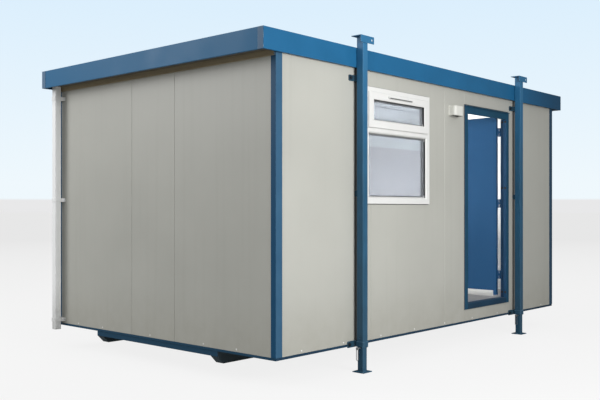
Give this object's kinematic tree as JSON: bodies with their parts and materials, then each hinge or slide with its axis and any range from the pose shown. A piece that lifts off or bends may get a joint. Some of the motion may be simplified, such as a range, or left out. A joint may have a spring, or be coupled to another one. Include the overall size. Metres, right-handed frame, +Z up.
{
  "type": "portable site cabin",
  "caption": "Flat-roofed portable cabin of grey wall panels with blue trims, an open steel door, a window with a fanlight, a downpipe and telescopic lifting legs.",
  "frame": {"origin": "on the level floor, under the middle of the cabin", "axes": "+X along the cabin, away from the end with the downpipe; +Y towards the rear wall, so the door and window wall faces -Y; +Z up"},
  "size_m": [5.225, 3.312, 2.879],
  "materials": {
    "blue_steel": "satin",
    "blue_door": "satin",
    "dark_steel": "satin",
    "grey_panel": "satin",
    "white_lining": "satin",
    "plywood": "matte",
    "dark_timber": "matte",
    "grey_vinyl": "matte",
    "roof_steel": "satin",
    "white_plastic": "gloss",
    "dark_plastic": "matte",
    "window_glass": "clear",
    "bright_steel": "satin"
  },
  "bodies": {
    "cabin": {"base_end_channels": "blue_steel", "base_end_rails": "blue_steel", "base_side_rails": "blue_steel", "base_skids": "dark_steel", "corner_trims": "blue_steel", "door_frame": "blue_steel", "door_frame_hinges": "bright_steel", "door_sill": "blue_steel", "downpipe": "white_plastic", "downpipe_clips": "white_plastic", "eaves_fillets": "dark_timber", "end_fascias": "blue_steel", "fascia_wraps": "blue_steel", "floor_deck": "plywood", "floor_joists": "dark_steel", "floor_vinyl": "grey_vinyl", "front_panel_1": "grey_panel", "front_panel_2": "grey_panel", "front_panel_3": "grey_panel", "front_panel_4": "grey_panel", "front_panel_over_door": "grey_panel", "front_panel_under_door": "grey_panel", "gutter": "roof_steel", "left_end_panels": "grey_panel", "leg_brackets": "blue_steel", "leg_heads": "blue_steel", "leg_outer_tubes": "blue_steel", "rear_wall_panels": "grey_panel", "right_end_panels": "grey_panel", "roof_deck": "white_lining", "roof_sheet": "roof_steel", "side_fascias": "blue_steel", "soffits": "dark_steel", "vent_cowl": "white_plastic", "window_beads": "white_plastic", "window_fanlight": "white_plastic", "window_frame": "white_plastic", "window_gaskets": "dark_plastic", "window_glass": "window_glass", "window_spacers": "bright_steel", "window_trickle_vent": "dark_plastic"},
    "door": {"door_leaf": "blue_door", "door_leaf_hinges": "bright_steel", "door_handles": "bright_steel"},
    "leg_front_left": {"inner_leg_front_left": "blue_steel", "leg_pin_front_left": "bright_steel"},
    "leg_front_right": {"inner_leg_front_right": "blue_steel", "leg_pin_front_right": "bright_steel"},
    "leg_rear_right": {"inner_leg_rear_right": "blue_steel", "leg_pin_rear_right": "bright_steel"},
    "leg_rear_left": {"inner_leg_rear_left": "blue_steel", "leg_pin_rear_left": "bright_steel"}
  },
  "joints": [
    {"name": "door_hinge", "type": "hinge", "parent": "cabin", "child": "door", "pos_m": [1.3005, -1.437, 0.436], "axis": [0, 0, 1], "range_deg": [-80, 90]},
    {"name": "leg_front_left_slide", "type": "slide", "parent": "cabin", "child": "leg_front_left", "axis": [0, 0, -1], "range_m": [0, 0.35]},
    {"name": "leg_front_right_slide", "type": "slide", "parent": "cabin", "child": "leg_front_right", "axis": [0, 0, -1], "range_m": [0, 0.35]},
    {"name": "leg_rear_right_slide", "type": "slide", "parent": "cabin", "child": "leg_rear_right", "axis": [0, 0, -1], "range_m": [0, 0.35]},
    {"name": "leg_rear_left_slide", "type": "slide", "parent": "cabin", "child": "leg_rear_left", "axis": [0, 0, -1], "range_m": [0, 0.35]}
  ]
}
